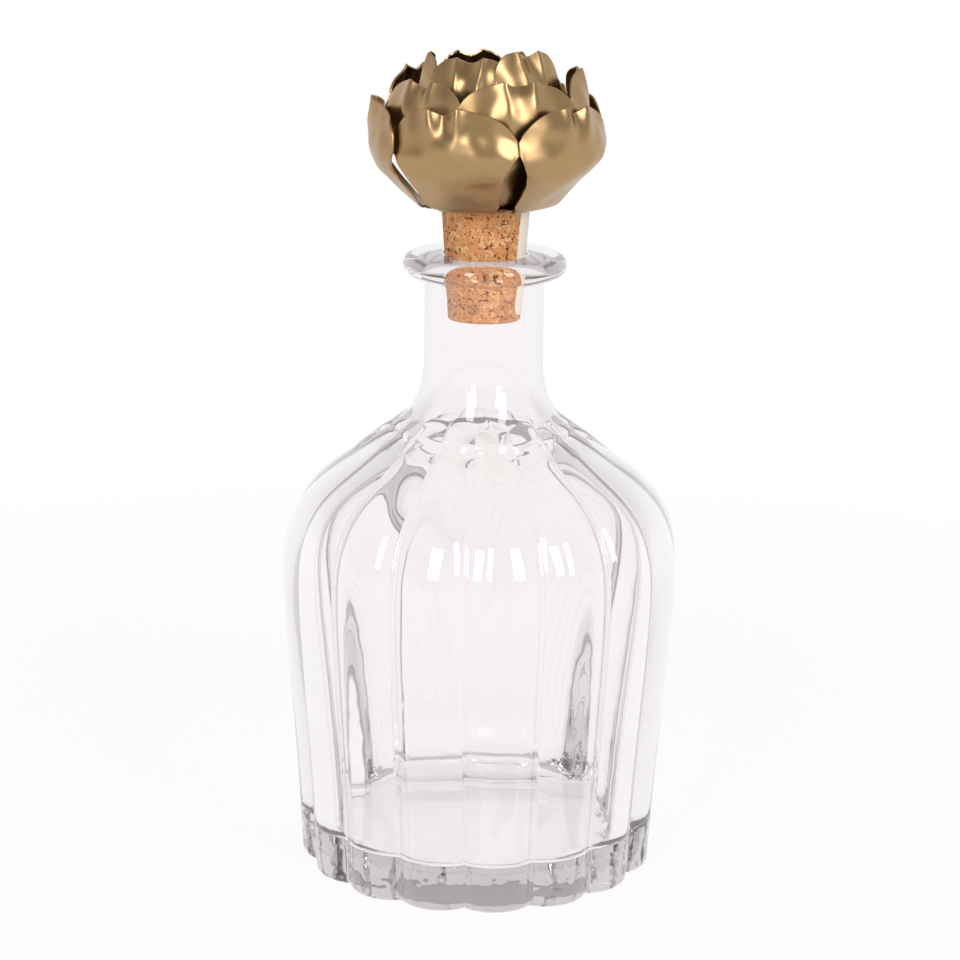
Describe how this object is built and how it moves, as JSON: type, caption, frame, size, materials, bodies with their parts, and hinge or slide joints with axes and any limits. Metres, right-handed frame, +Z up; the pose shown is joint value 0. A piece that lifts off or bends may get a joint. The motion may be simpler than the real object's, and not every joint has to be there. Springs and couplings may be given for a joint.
{
  "type": "stoppered glass bottle",
  "caption": "Clear lobed glass bottle with a flanged mouth, closed by a tapered cork that carries a stamped metal flower.",
  "frame": {"origin": "centre of the foot, on the surface that the bottle stands on", "axes": "+Z up along the bottle's axis, -Y towards the front of the picture, +X to its right"},
  "size_m": [0.1196, 0.1196, 0.2489],
  "materials": {
    "clear_glass": "clear pressed glass, polished",
    "agglomerated_cork": "bare agglomerated cork with dark specks",
    "cream_paper": "matte paper",
    "antique_gold": "satin antique gold paint on sheet metal",
    "screw_steel": "zinc-plated steel"
  },
  "bodies": {
    "bottle": {"bottle": "clear_glass"},
    "stopper": {"cork": "agglomerated_cork", "cork_sticker": "cream_paper", "outer_petals": "antique_gold", "middle_petals": "antique_gold", "inner_petals": "antique_gold", "bud_petals": "antique_gold", "clamp_washer": "screw_steel", "fixing_screw": "screw_steel"}
  },
  "joints": [
    {"name": "stopper_lift", "type": "slide", "parent": "bottle", "child": "stopper", "axis": [0, 0, 1], "range_m": [0, 0.04]}
  ]
}
